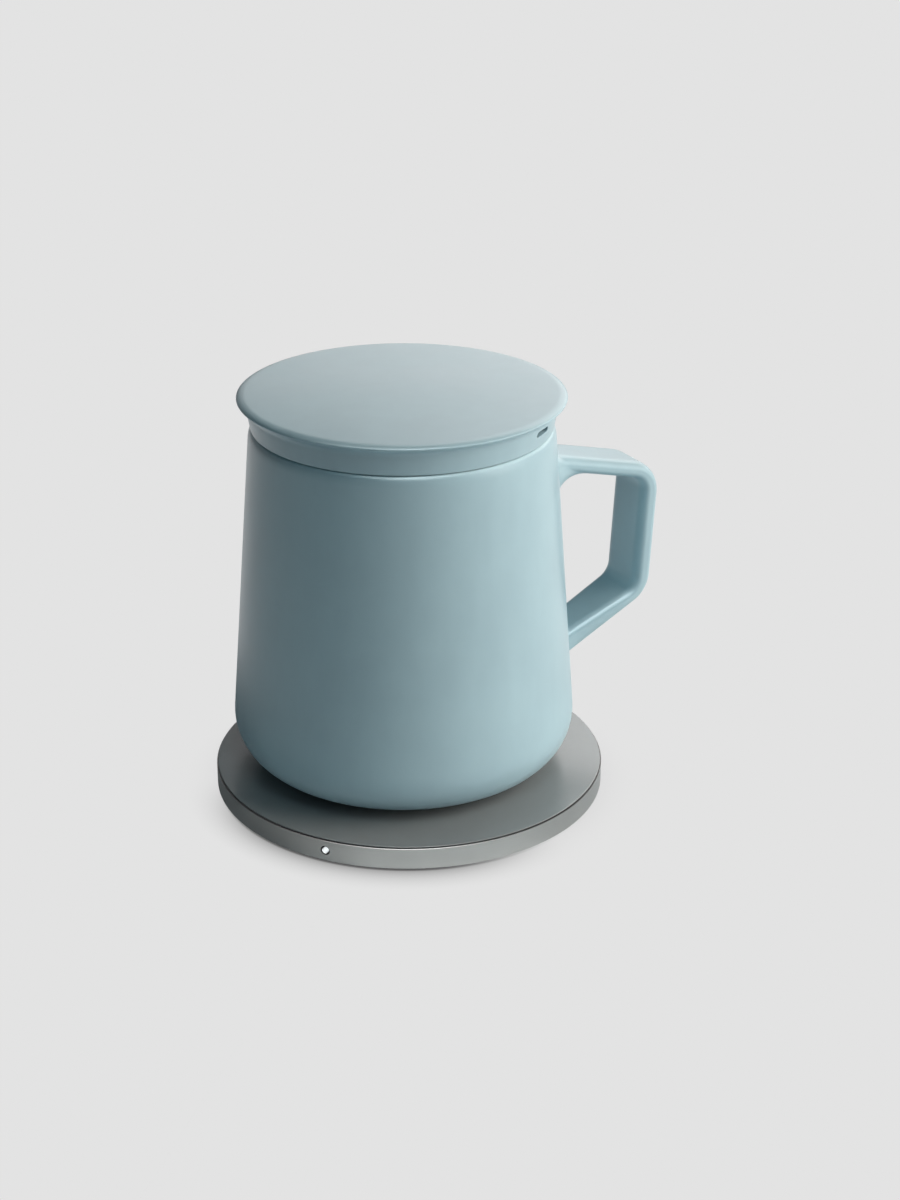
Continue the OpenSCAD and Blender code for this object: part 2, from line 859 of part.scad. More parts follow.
// Half section of the lid: thin edge, flared underside, neck and skirt, hollow from below
module lid_section() {
  skirt_low = lip_z - skirt_depth;
  roof_z = edge_z - roof_drop;
  shoulder_steps = 8;
  swell_steps = 12;
  shoulder = [for (i = [0 : shoulder_steps - 1]) shoulder_x + shoulder_run * cos(90 * i / shoulder_steps)];
  swell = [for (i = [swell_steps : -1 : 0]) shoulder_x * i / swell_steps];
  difference() {
    union() {
      polygon(concat(
        [[0, seat_z], [neck_r, seat_z], [neck_top_r, flare_z], [edge_x, flare_z], [edge_x, edge_z]],
        [for (r = concat(shoulder, swell)) [r, lid_top(r)]]
      ));
      translate([0, skirt_low])
        square([skirt_r, seat_z - skirt_low + cut]);
    }
    translate([neck_top_r + flare_r, flare_z])
      circle(r = flare_r, $fn = 96);
    translate([0, skirt_low - cut])
      square([skirt_r - skirt_wall, roof_z - skirt_low + cut]);
  }
  translate([edge_x, edge_z])
    circle(r = edge_r, $fn = 48);
}

// Ceramic lid with a vent slot through its neck
module lid_shell() {
  color(glaze)
    difference() {
      rotate_extrude($fn = 180)
        lid_section();
      at_bearing(vent_bearing, skirt_r - skirt_wall - cut)
        translate([0, 0, vent_z])
          stadium_bar(vent_w, vent_h, lid_d / 2);
    }
}

// Silicone seal between the neck and the lip, with two fins around the skirt
module lid_seal() {
  seal_in = skirt_r + fit_gap;
  sleeve_r = seal_in + seal_t;
  fin_r = sleeve_r + seal_fin;
  low = lip_z - skirt_depth + 1;
  fin_h = 0.8;
  fin_first = 0.6;
  fin_step = 2.2;
  flange_r = neck_r - 0.45;
  z_low = lip_z + fit_gap;
  z_high = seat_z - eps;
  color(dark_grey)
    rotate_extrude($fn = 120)
      union() {
        translate([seal_in, low])
          square([seal_t, z_high - low]);
        translate([seal_in, z_low])
          square([flange_r - seal_in, z_high - z_low]);
        for (i = [0, 1])
          translate([sleeve_r, low + fin_first + fin_step * i])
            polygon([[-eps, 0], [seal_fin, fin_h / 2], [-eps, fin_h]]);
      }
}

foot_pad();
base_plate();
base_screws();
rim_housing();
gap_gasket();
top_plate();
coil_carrier();
ferrite_shield();
induction_coil();
coil_leads();
temperature_sensor();
control_board();
driver_chip();
bridge_transistors();
resonance_capacitors();
power_inductor();
status_led();
indicator_lens();
usb_shell();
usb_tongue();
on_pad() mug_body();
on_pad() handle();
on_pad() heating_disc();
on_pad() base_cap();
on_pad() foot_ring();
on_pad() lid_shell();
on_pad() lid_seal();
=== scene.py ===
import bmesh
import bpy
import json
import math
import numpy as np
from mathutils import Matrix, Vector


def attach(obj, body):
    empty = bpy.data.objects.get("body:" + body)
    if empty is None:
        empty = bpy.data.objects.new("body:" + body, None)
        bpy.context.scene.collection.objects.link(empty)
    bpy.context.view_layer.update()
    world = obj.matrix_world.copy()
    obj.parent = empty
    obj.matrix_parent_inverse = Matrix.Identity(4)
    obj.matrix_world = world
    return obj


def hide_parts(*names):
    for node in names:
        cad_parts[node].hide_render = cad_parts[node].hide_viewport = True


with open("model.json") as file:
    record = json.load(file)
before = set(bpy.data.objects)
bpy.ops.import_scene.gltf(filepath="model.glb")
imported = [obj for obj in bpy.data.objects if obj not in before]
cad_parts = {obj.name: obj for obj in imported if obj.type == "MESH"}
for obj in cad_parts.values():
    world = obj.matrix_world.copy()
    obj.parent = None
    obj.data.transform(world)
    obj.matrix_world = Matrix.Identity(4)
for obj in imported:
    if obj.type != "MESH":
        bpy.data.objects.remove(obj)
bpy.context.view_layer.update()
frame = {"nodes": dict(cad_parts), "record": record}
scene = bpy.context.scene
scene.view_settings.view_transform = "Standard"
mm = 0.001
print("frame:", len(frame["nodes"]), "nodes")

# camera

camera = {
    "place": (-0.2492, -0.4659, 0.2819),
    "forward": (0.44776, 0.79857, -0.40227),
    "roll": math.radians(0.17),
    "lens": 68.28,
    "sensor": 36.0,  # along the picture's long side
    "nearest": 0.01,
}


def addCamera(c):
    forward = Vector(c["forward"]).normalized()
    right = forward.cross(Vector((0, 0, 1))).normalized()
    up = right.cross(forward)
    across = math.cos(c["roll"]) * right + math.sin(c["roll"]) * up
    upright = math.cos(c["roll"]) * up - math.sin(c["roll"]) * right
    data = bpy.data.cameras.new("photoCamera")
    data.lens = c["lens"]
    data.sensor_width = c["sensor"]
    data.clip_start = c["nearest"]
    view = bpy.data.objects.new("photoCamera", data)
    scene.collection.objects.link(view)
    turn = Matrix((across, upright, -forward)).transposed().to_4x4()
    view.matrix_world = Matrix.Translation(c["place"]) @ turn
    scene.camera = view


addCamera(camera)
print("camera set")

# node helpers


# node with its settings and inputs: a socket is linked, and any other value is written in
def put(tree, kind, inputs=None, **settings):
    node = tree.nodes.new(kind)
    for key, value in settings.items():
        setattr(node, key, value)
    for key, value in (inputs or {}).items():
        if isinstance(value, bpy.types.NodeSocket):
            tree.links.new(value, node.inputs[key])
        else:
            node.inputs[key].default_value = value
    return node


def maths(tree, operation, a, b=0.0, clamp=False):
    return put(tree, "ShaderNodeMath", {0: a, 1: b}, operation=operation, use_clamp=clamp).outputs[0]


# two values added up, each times its own share
def weigh(tree, values, shares, clamp=False):
    parts = [maths(tree, "MULTIPLY", value, share) for value, share in zip(values, shares)]
    return maths(tree, "ADD", *parts, clamp=clamp)


# value carried from a span to the run from start to stop, and held past its ends
def ramp(tree, value, span, start=0.0, stop=1.0, smooth=True):
    kind = "SMOOTHSTEP" if smooth else "LINEAR"
    inputs = {"Value": value, "From Min": span[0], "From Max": span[1], "To Min": start, "To Max": stop}
    return put(tree, "ShaderNodeMapRange", inputs, interpolation_type=kind).outputs[0]


def blendColour(tree, factor, a, b):
    a, b = (value if isinstance(value, bpy.types.NodeSocket) else (*value, 1.0) for value in (a, b))
    return put(tree, "ShaderNodeMix", {0: factor, 6: a, 7: b}, data_type="RGBA").outputs[2]


def makeGroup(name, values, output):
    group = bpy.data.node_groups.new(name, "ShaderNodeTree")
    group.interface.new_socket(name="Vector", in_out="INPUT", socket_type="NodeSocketVector")
    for label in values:
        group.interface.new_socket(name=label, in_out="INPUT", socket_type="NodeSocketFloat")
    group.interface.new_socket(name=output, in_out="OUTPUT", socket_type="NodeSocketFloat")
    return group, group.nodes.new("NodeGroupInput").outputs, group.nodes.new("NodeGroupOutput").inputs


def use(tree, group, inputs):
    return put(tree, "ShaderNodeGroup", inputs, node_tree=group).outputs


# shared effects

effects = {
    "mottle": {"detail": 3.0, "roughness": 0.55, "span": (0.32, 0.68)},
    "grain": {"detail": 1.0, "finer": 2.7, "share": 0.5},
    "turned": {"detail": 2.0},
}


# cloudy change of tone, stretched to the full range from 0 to 1
def makeMottle(e):
    g, i, o = makeGroup("softMottle", ["Scale"], "Value")
    shape = {"Detail": e["detail"], "Roughness": e["roughness"]}
    noise = put(g, "ShaderNodeTexNoise", {"Vector": i["Vector"], "Scale": i["Scale"], **shape})
    g.links.new(ramp(g, noise.outputs["Fac"], e["span"]), o["Value"])
    return g


# two layers of small noise, the finer one at half the height
def makeGrain(e):
    g, i, o = makeGroup("fineGrain", ["Scale"], "Height")
    coarse = put(g, "ShaderNodeTexNoise", {"Vector": i["Vector"], "Scale": i["Scale"], "Detail": e["detail"]})
    finer = maths(g, "MULTIPLY", i["Scale"], e["finer"])
    fine = put(g, "ShaderNodeTexNoise", {"Vector": i["Vector"], "Scale": finer, "Detail": e["detail"]})
    half = maths(g, "MULTIPLY", fine.outputs["Fac"], e["share"])
    g.links.new(maths(g, "ADD", coarse.outputs["Fac"], half), o["Height"])
    return g


# band around one height, full at the height and gone a width away
def makeBand():
    g, i, o = makeGroup("levelBand", ["Level", "Width"], "Mask")
    height = put(g, "ShaderNodeSeparateXYZ", {0: i["Vector"]}).outputs["Z"]
    away = maths(g, "ABSOLUTE", maths(g, "SUBTRACT", height, i["Level"]))
    share = maths(g, "DIVIDE", away, i["Width"])
    g.links.new(ramp(g, share, (0.0, 1.0), 1.0, 0.0), o["Mask"])
    return g


# lathe lines: noise that depends only on the distance from the axis and on the height
def makeTurned(e):
    g, i, o = makeGroup("turnedLines", ["Fineness"], "Height")
    part = put(g, "ShaderNodeSeparateXYZ", {0: i["Vector"]}).outputs
    squares = [maths(g, "MULTIPLY", part[axis], part[axis]) for axis in ("X", "Y")]
    out = maths(g, "SQRT", maths(g, "ADD", *squares))
    spot = put(g, "ShaderNodeCombineXYZ", {"X": out, "Y": part["Z"]}).outputs[0]
    inputs = {"Vector": spot, "Scale": i["Fineness"], "Detail": e["detail"]}
    lines = put(g, "ShaderNodeTexNoise", inputs, noise_dimensions="2D")
    g.links.new(lines.outputs["Fac"], o["Height"])
    return g


mottle, grain = makeMottle(effects["mottle"]), makeGrain(effects["grain"])
band, turned = makeBand(), makeTurned(effects["turned"])
print("shared effects made")


def newMaterial(name):
    material = bpy.data.materials.new(name)
    material.use_nodes = True
    tree = material.node_tree
    shader = tree.nodes["Principled BSDF"]
    coord = tree.nodes.new("ShaderNodeTexCoord").outputs["Object"]
    return material, tree, shader, coord


# base colour, and a roughness that follows the tone
def paint(tree, shader, colour, tone, roughness):
    tree.links.new(colour, shader.inputs["Base Color"])
    tree.links.new(ramp(tree, tone, (0.0, 1.0), *roughness, smooth=False), shader.inputs["Roughness"])


def bump(tree, shader, height, strength, depth):
    node = put(tree, "ShaderNodeBump", {"Height": height, "Strength": strength, "Distance": depth})
    tree.links.new(node.outputs[0], shader.inputs["Normal"])


def bandMask(tree, coord, line):
    return use(tree, band, {"Vector": coord, "Level": line["level"], "Width": line["width"]})["Mask"]


# colour with a line of another colour around one height, used for painted shade along the gap between plate and rim
def paintedShadeLine(tree, coord, colour, line):
    mask = maths(tree, "MULTIPLY", bandMask(tree, coord, line), line["share"])
    return blendColour(tree, mask, colour, line["colour"])


# satin glaze of the mug, its handle and its lid

glazeLook = {
    "deep": (0.285, 0.418, 0.472),
    "pale": (0.312, 0.455, 0.508),
    "roughness": (0.285, 0.33),
    "cloud": 45.0,
    "streak": 210.0,
    "flow": (1.0, 1.0, 0.25),  # draws the streaks out downwards
    "shares": (0.7, 0.3),  # cloud and streak
    "thin": (0.41, 0.575, 0.625),  # thinner, paler glaze on the lip and on the lid's edge, and in part a painted highlight: the lip's line stands in for the highlight along it
    "thinLines": [
        {"level": 0.0964, "width": 0.0008, "share": 0.8},
        {"level": 0.1042, "width": 0.0006, "share": 0.2},
    ],
    "wave": 150.0,
    "grain": 3800.0,
    "grainShare": 0.03,
    "bump": (0.25, 0.00004),  # strength and depth
    "ior": 1.5,
}


def makeGlaze(g):
    material, tree, shader, coord = newMaterial("satinGlaze")
    cloud = use(tree, mottle, {"Vector": coord, "Scale": g["cloud"]})["Value"]
    flow = put(tree, "ShaderNodeMapping", {"Vector": coord, "Scale": g["flow"]}).outputs[0]
    streak = use(tree, mottle, {"Vector": flow, "Scale": g["streak"]})["Value"]
    tone = weigh(tree, (cloud, streak), g["shares"])
    colour = blendColour(tree, tone, g["deep"], g["pale"])
    # paler lines on the lip and the lid's edge: thinner glaze there, and in part a painted highlight
    masks = [bandMask(tree, coord, line) for line in g["thinLines"]]
    thin = weigh(tree, masks, [line["share"] for line in g["thinLines"]])
    paint(tree, shader, blendColour(tree, thin, colour, g["thin"]), cloud, g["roughness"])
    wave = put(tree, "ShaderNodeTexNoise", {"Vector": coord, "Scale": g["wave"], "Detail": 0.0}).outputs["Fac"]
    fine = use(tree, grain, {"Vector": coord, "Scale": g["grain"]})["Height"]
    height = maths(tree, "ADD", wave, maths(tree, "MULTIPLY", fine, g["grainShare"]))
    bump(tree, shader, height, *g["bump"])
    shader.inputs["IOR"].default_value = g["ior"]
    return material


# dark satin plate that the mug stands on

plateLook = {
    "deep": (0.186, 0.204, 0.206),
    "pale": (0.214, 0.233, 0.235),
    "roughness": (0.20, 0.25),
    "cloud": 70.0,
    "grain": 4200.0,
    "shares": (0.4, 0.4),  # cloud and grain
    # painted shade: a darker line low on the plate's edge, over the gap beneath it
    "edge": {"colour": (0.15, 0.15, 0.15), "level": 0.00636, "width": 0.0001, "share": 0.5},
    "bump": (0.10, 0.00004),
    "specular": 0.8,
}


def makePlate(p):
    material, tree, shader, coord = newMaterial("satinPlate")
    cloud = use(tree, mottle, {"Vector": coord, "Scale": p["cloud"]})["Value"]
    fine = use(tree, grain, {"Vector": coord, "Scale": p["grain"]})["Height"]
    tone = weigh(tree, (cloud, fine), p["shares"], clamp=True)
    colour = paintedShadeLine(tree, coord, blendColour(tree, tone, p["deep"], p["pale"]), p["edge"])
    paint(tree, shader, colour, tone, p["roughness"])
    bump(tree, shader, fine, *p["bump"])
    shader.inputs["Specular IOR Level"].default_value = p["specular"]
    return material


# fine turned metal of the pad's rim

rimLook = {
    "deep": (0.48, 0.465, 0.45),
    "pale": (0.54, 0.525, 0.51),
    "roughness": (0.38, 0.46),
    "lines": 9000.0,
    "cloud": 90.0,
    "shares": (0.6, 0.4),  # lines and cloud
    # painted shade: a near-black line on the rim's top edge, where it meets the gap
    "edge": {"colour": (0.06, 0.06, 0.06), "level": 0.00608, "width": 0.0003, "share": 0.95},  # where it meets the gap
    "bump": (0.10, 0.00004),
    "metal": 1.0,
}


def makeRim(r):
    material, tree, shader, coord = newMaterial("turnedRim")
    lines = use(tree, turned, {"Vector": coord, "Fineness": r["lines"]})["Height"]
    cloud = use(tree, mottle, {"Vector": coord, "Scale": r["cloud"]})["Value"]
    tone = weigh(tree, (lines, cloud), r["shares"])
    colour = paintedShadeLine(tree, coord, blendColour(tree, tone, r["deep"], r["pale"]), r["edge"])
    paint(tree, shader, colour, tone, r["roughness"])
    bump(tree, shader, lines, *r["bump"])
    shader.inputs["Metallic"].default_value = r["metal"]
    return material


# mottled, grainy finish for moulded and fired parts

mouldedShares = (0.6, 0.3)  # cloud and grain
mouldedDepth = 0.00005
mouldedLooks = {
    "black_plastic": {
        "name": "blackMoulding", "deep": (0.012, 0.012, 0.013), "pale": (0.022, 0.022, 0.024),
        "roughness": (0.45, 0.6), "cloud": 140.0, "grain": 3600.0, "strength": 0.2,
    },
    "pale_plastic": {
        "name": "paleMoulding", "deep": (0.60, 0.60, 0.575), "pale": (0.68, 0.68, 0.66),
        "roughness": (0.42, 0.55), "cloud": 120.0, "grain": 3200.0, "strength": 0.15,
    },
    "silicone": {
        "name": "softSilicone", "deep": (0.014, 0.014, 0.015), "pale": (0.03, 0.03, 0.032),
        "roughness": (0.6, 0.78), "cloud": 180.0, "grain": 4200.0, "strength": 0.3,
    },
    "ferrite": {
        "name": "firedFerrite", "deep": (0.016, 0.016, 0.017), "pale": (0.035, 0.034, 0.034),
        "roughness": (0.5, 0.66), "cloud": 260.0, "grain": 5200.0, "strength": 0.35,
    },
    "board": {
        "name": "greenBoard", "deep": (0.006, 0.045, 0.024), "pale": (0.012, 0.075, 0.042),
        "roughness": (0.3, 0.42), "cloud": 220.0, "grain": 2600.0, "strength": 0.12,
    },
    "capacitor_film": {
        "name": "filmCapacitor", "deep": (0.24, 0.11, 0.035), "pale": (0.34, 0.17, 0.06),
        "roughness": (0.32, 0.45), "cloud": 200.0, "grain": 3000.0, "strength": 0.12,
    },
}


def makeMoulded(m):
    material, tree, shader, coord = newMaterial(m["name"])
    cloud = use(tree, mottle, {"Vector": coord, "Scale": m["cloud"]})["Value"]
    fine = use(tree, grain, {"Vector": coord, "Scale": m["grain"]})["Height"]
    tone = weigh(tree, (cloud, fine), mouldedShares, clamp=True)
    paint(tree, shader, blendColour(tree, tone, m["deep"], m["pale"]), tone, m["roughness"])
    bump(tree, shader, fine, m["strength"], mouldedDepth)
    return material


# metal with fine lines all one way

drawnShares = (0.5, 0.3)  # lines and cloud
drawnScales = (6000.0, 160.0)
drawnBump = (0.08, 0.00003)
drawnLooks = {
    "steel": {
        "name": "drawnSteel", "deep": (0.46, 0.46, 0.46), "pale": (0.60, 0.60, 0.59),
        "roughness": (0.22, 0.36), "stretch": (0.06, 1.0, 1.0),
    },
    "copper": {
        "name": "coilCopper", "deep": (0.62, 0.30, 0.16), "pale": (0.78, 0.42, 0.25),
        "roughness": (0.24, 0.38), "stretch": (1.0, 1.0, 0.1),
    },
}


def makeDrawn(d):
    material, tree, shader, coord = newMaterial(d["name"])
    lengthwise = put(tree, "ShaderNodeMapping", {"Vector": coord, "Scale": d["stretch"]}).outputs[0]
    lines = use(tree, grain, {"Vector": lengthwise, "Scale": drawnScales[0]})["Height"]
    cloud = use(tree, mottle, {"Vector": coord, "Scale": drawnScales[1]})["Value"]
    tone = weigh(tree, (lines, cloud), drawnShares, clamp=True)
    paint(tree, shader, blendColour(tree, tone, d["deep"], d["pale"]), tone, d["roughness"])
    bump(tree, shader, lines, *drawnBump)
    shader.inputs["Metallic"].default_value = 1.0
    return material


# polished lens with a painted highlight: a pale strip shows slantwise in a dark well, and glows by its own emission

lensLook = {
    "bearing": math.radians(-142.5),
    "level": 0.003325,
    "slant": math.radians(48.0),
    # painted highlight strip across the lens
    "highlightStrip": (0.000396, 0.000924),  # full up to the first distance from its middle line, gone at the second
    "well": (0.00085, 0.00105),
    "dark": (0.012, 0.013, 0.014),
    "pale": (0.80, 0.82, 0.83),
    "highlightGlow": 0.85,
    "cloud": 900.0,
    "roughness": (0.05, 0.09),
}


def makeLens(n):
    material, tree, shader, coord = newMaterial("clearLens")
    turn = {"Vector": coord, "Angle": -n["bearing"]}
    spot = put(tree, "ShaderNodeVectorRotate", turn, rotation_type="Z_AXIS").outputs[0]
    part = put(tree, "ShaderNodeSeparateXYZ", {0: spot}).outputs
    side, rise = part["Y"], maths(tree, "SUBTRACT", part["Z"], n["level"])
    slanted = weigh(tree, (side, rise), (math.sin(n["slant"]), -math.cos(n["slant"])))
    highlightStrip = ramp(tree, maths(tree, "ABSOLUTE", slanted), n["highlightStrip"], 1.0, 0.0)
    squares = [maths(tree, "MULTIPLY", value, value) for value in (side, rise)]
    out = maths(tree, "SQRT", maths(tree, "ADD", *squares))
    tone = maths(tree, "MULTIPLY", highlightStrip, ramp(tree, out, n["well"], 1.0, 0.0))
    fine = use(tree, mottle, {"Vector": coord, "Scale": n["cloud"]})["Value"]
    paint(tree, shader, blendColour(tree, tone, n["dark"], n["pale"]), fine, n["roughness"])
    # the painted highlight strip also glows, though the lens is no lamp
    tree.links.new(blendColour(tree, tone, (0.0, 0.0, 0.0), n["pale"]), shader.inputs["Emission Color"])
    shader.inputs["Emission Strength"].default_value = n["highlightGlow"]
    return material


finishes = {
    "glaze": makeGlaze(glazeLook),
    "dark_plate": makePlate(plateLook),
    "rim_metal": makeRim(rimLook),
    "lens": makeLens(lensLook),
    **{slot: makeMoulded(look) for slot, look in mouldedLooks.items()},
    **{slot: makeDrawn(look) for slot, look in drawnLooks.items()},
}
for row in frame["record"]["subparts"]:
    mesh = frame["nodes"][row["node"]].data
    mesh.materials.clear()
    mesh.materials.append(finishes[row["material_slot"]])
print("finishes:", len(finishes))

# surfaces

samePoint = 1e-6  # mm, between neighbours on an outline
mergeDistance = 1e-7  # m


# outline through corner points: each corner becomes an arc of its own radius, and straight runs are filled in
def roundOutline(corners, spacing, steps):
    points = np.array([corner[:2] for corner in corners], float)
    parts = [points[:1]]
    for before, at, after, corner in zip(points, points[1:], points[2:], corners[1:]):
        radius = corner[2]
        if radius == 0:
            parts.append(at[None])
            continue
        into = (before - at) / np.linalg.norm(before - at)
        onto = (after - at) / np.linalg.norm(after - at)
        half = math.acos(float(into @ onto)) / 2
        middle = at + (into + onto) / np.linalg.norm(into + onto) * radius / math.sin(half)
        first = at + into * radius / math.tan(half) - middle
        last = at + onto * radius / math.tan(half) - middle
        sweep = math.pi - 2 * half
        k = np.linspace(0, 1, steps)[:, None]
        parts.append(middle + (np.sin((1 - k) * sweep) * first + np.sin(k * sweep) * last) / math.sin(sweep))
    parts.append(points[-1:])
    path = np.concatenate(parts)
    gap = np.linalg.norm(np.diff(path, axis=0), axis=1)
    path = path[np.concatenate([[True], gap > samePoint])]
    gap = gap[gap > samePoint]
    count = np.maximum(1, np.ceil(gap / spacing)).astype(int)
    each = np.repeat(count, count)
    start = np.repeat(np.arange(len(count)), count)
    k = (np.arange(count.sum()) - np.repeat(np.cumsum(count) - count, count)) / each
    k = np.where(each > 2, (1 - np.cos(np.pi * k)) / 2, k)  # points crowd towards the ends of a long run
    filled = path[start] + k[:, None] * (path[start + 1] - path[start])
    return np.concatenate([filled, path[-1:]])


# outline turned about the upright axis: radius times cosine and sine of the turn, and the height kept
def revolve(outline, steps, first=0.0):
    turn = first + np.linspace(0, 2 * np.pi, steps, endpoint=False)
    r, z = outline[:, :1], outline[:, 1:]
    return np.stack([r * np.cos(turn), r * np.sin(turn), z + 0 * turn], axis=-1)


# quads between neighbouring rows of a grid that closes around its columns
def ringFaces(rows, cols, offset=0):
    here = np.arange(cols)
    following = np.roll(here, -1)
    base = offset + np.arange(rows - 1)[:, None] * cols
    return np.stack([base + here, base + following, base + cols + following, base + cols + here], axis=-1)


# mesh from points in mm, with doubles merged, faces outwards, and edges sharp past an angle in degrees
def makePiece(name, points, faces, slot, body, sharp=38.0):
    mesh = bpy.data.meshes.new(name)
    mesh.from_pydata((points * mm).tolist(), [], faces.tolist())
    work = bmesh.new()
    work.from_mesh(mesh)
    bmesh.ops.remove_doubles(work, verts=work.verts, dist=mergeDistance)
    bmesh.ops.recalc_face_normals(work, faces=work.faces)
    work.to_mesh(mesh)
    work.free()
    mesh.shade_smooth()
    mesh.set_sharp_from_angle(angle=math.radians(sharp))
    mesh.materials.append(finishes[slot])
    piece = bpy.data.objects.new(name, mesh)
    scene.collection.objects.link(piece)
    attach(piece, body)
    print(name, len(mesh.vertices), "points")
    return piece


# mug body

mug = {
    "shift": (-0.5, 1.9),  # from the pad's middle
    "mouth": 37.8,
    "lip": 96.55,
    "taper": math.radians(4.4),
    "wall": 3.3,
    "under": 7.15,
    "floor": 12.85,
    "baseRound": 13.1,
    "cavityRound": 9.0,
    "lipRound": 1.4,
    "lipFall": 3.4,  # height of the outer rounding, a quarter of an ellipse
    "lipSteps": 25,
    "recess": (25.3, 2.2),  # radius and depth
    "groove": (27.4, 29.8, 1.2),  # inner and outer radius, and depth
    "smallRound": 0.2,
    "recessRound": 0.3,
    "spacing": 2.2,
    "arcSteps": 17,
    "steps": 288,
}


# radius of the outside of the wall at a height: the mouth's radius plus the drop from the lip times the taper
def wallRadius(z):
    return mug["mouth"] + math.tan(mug["taper"]) * (mug["lip"] - z)


def onPad(points):
    return points + np.array([*mug["shift"], 0.0])


# outside of the lip: an ellipse that touches the wall, from the touching point up to the top
def lipCorners(m):
    a, b, slope = m["lipRound"], m["lipFall"], m["taper"]
    reach = math.hypot(a * math.cos(slope), b * math.sin(slope)) / math.cos(slope)
    middle = (wallRadius(m["lip"] - b) - reach, m["lip"] - b)
    turn = np.linspace(math.atan(b / a * math.tan(slope)), np.pi / 2, m["lipSteps"])
    return np.stack([middle[0] + a * np.cos(turn), middle[1] + b * np.sin(turn), 0 * turn], axis=1).tolist()


def buildMug(m):
    inset = m["wall"] / math.cos(m["taper"])
    under, (recess, deep), (inner, outer, high) = m["under"], m["recess"], m["groove"]
    small = m["smallRound"]
    corners = [
        (0, under + deep, 0), (recess, under + deep, small), (recess, under, m["recessRound"]),
        (inner, under, small), (inner, under + high, small),
        (outer, under + high, small), (outer, under, small),
        (wallRadius(under), under, m["baseRound"]),
        *lipCorners(m),
        (wallRadius(m["lip"]) - inset, m["lip"], m["lipRound"]),
        (wallRadius(m["floor"]) - inset, m["floor"], m["cavityRound"]),
        (0, m["floor"], 0),
    ]
    grid = revolve(roundOutline(corners, m["spacing"], m["arcSteps"]), m["steps"])
    faces = ringFaces(*grid.shape[:2]).reshape(-1, 4)
    piece = makePiece("mugBody", onPad(grid.reshape(-1, 3)), faces, "glaze", "mug")
    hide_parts("mug_body")


buildMug(mug)

# handle

handle = {
    "width": 15.5,
    "edge": (3.0, 1.9),  # reach of the edge's rounding, across the width and through the thickness
    "softLow": 2.4,  # reach across the width on top of the lower arm
    "thick": (4.3, 4.9, 3.9),  # upper arm, grip, lower arm
    "lowEnd": {"run": 22.0, "width": 12.4, "thick": 5.9},  # the lower arm draws in and thickens towards the mug
    "cornerTop": (70.3, 73.4),
    "cornerLow": (68.3, 40.6),
    "slopes": (14.0, 28.0),
    "bends": (6.5, 7.0),
    "fillets": (13.0, 6.0),  # in the finger gap, at the upper and lower root
    "backFillet": 2.0,
    "sideShare": 0.5,
    "apron": 0.8,  # how far the root runs on over the wall past its fillet
    "sunk": (0.012, 1.2),  # depths of the root's edge and of its closed end in the wall
    "flatShares": (0.97, 0.8, 0.4, 0.0, -0.4, -0.8, -0.97),  # places of the points on the flat faces
    "sideShares": (0.8, 0.3, -0.3, -0.8),
    "edgeSteps": 10,
    "bendSteps": 22,
    "rootSteps": 15,
    "runSteps": 10,
    "sharp": 60.0,
}


# round-edged bar: unit normals around it, and the share of the straight sides that each point lies at
def barSection(h):
    quarter = np.radians(np.linspace(0, 90, h["edgeSteps"]))
    flat, side = np.array(h["flatShares"]), np.array(h["sideShares"])
    one = np.ones(len(quarter))
    ax = np.concatenate([np.cos(quarter), 0 * flat, -np.sin(quarter), 0 * side - 1,
                         -np.cos(quarter), 0 * flat, np.sin(quarter), 0 * side + 1])
    ay = np.concatenate([np.sin(quarter), 0 * flat + 1, np.cos(quarter), 0 * side,
                         -np.sin(quarter), 0 * flat - 1, -np.cos(quarter), 0 * side])
    cx = np.concatenate([one, flat, -one, 0 * side - 1, -one, -flat, one, 0 * side + 1])
    cy = np.concatenate([one, 0 * flat + 1, one, side, -one, 0 * flat - 1, -one, -side])
    return ax, ay, cx, cy


# along the heading, in degrees, in the plane of the bend
def heading(angle):
    a = np.radians(angle)
    return np.stack([np.cos(a), 0 * a, np.sin(a)], axis=-1)


# sections set square on a path: the middle, plus the section's depth along the path's outer normal,
# plus its width across, with an edge rounding of its own on the inner face
def sections(middle, angle, width, thick, soft, bar, h):
    ax, ay, cx, cy = bar
    wide, deep = h["edge"]
    wide = np.where(ay < 0, soft[:, None], wide)
    across = cx * (width / 2 - wide) + ax * wide
    depth = cy * (thick[:, None] / 2 - deep) + ay * deep
    outer = heading(angle + 90)
    return middle[:, None] + depth[..., None] * outer[:, None] + across[..., None] * np.array([0.0, 1.0, 0.0])


# arc of the bend: the centre lies square to the incoming run, and the heading falls evenly
def bend(corner, angle, turn, radius, thick, soft, bar, h):
    k = np.linspace(0, 1, h["bendSteps"])
    start = np.array([corner[0], 0.0, corner[1]]) - radius * math.tan(math.radians(turn) / 2) * heading(angle)
    centre = start + radius * heading(angle - 90)
    course = angle - turn * k
    middle = centre + radius * heading(course + 90)
    thickness, softness = (a + (b - a) * k for a, b in (thick, soft))
    return sections(middle, course, h["width"], thickness, softness, bar, h)


# points moved onto the wall's cone along their own radius, sunk by a depth
def ontoWall(points, sunk=0.0):
    far = np.hypot(points[..., 0], points[..., 1])
    near = wallRadius(points[..., 2]) - sunk
    return np.stack([points[..., 0] * near / far, points[..., 1] * near / far, points[..., 2]], axis=-1)


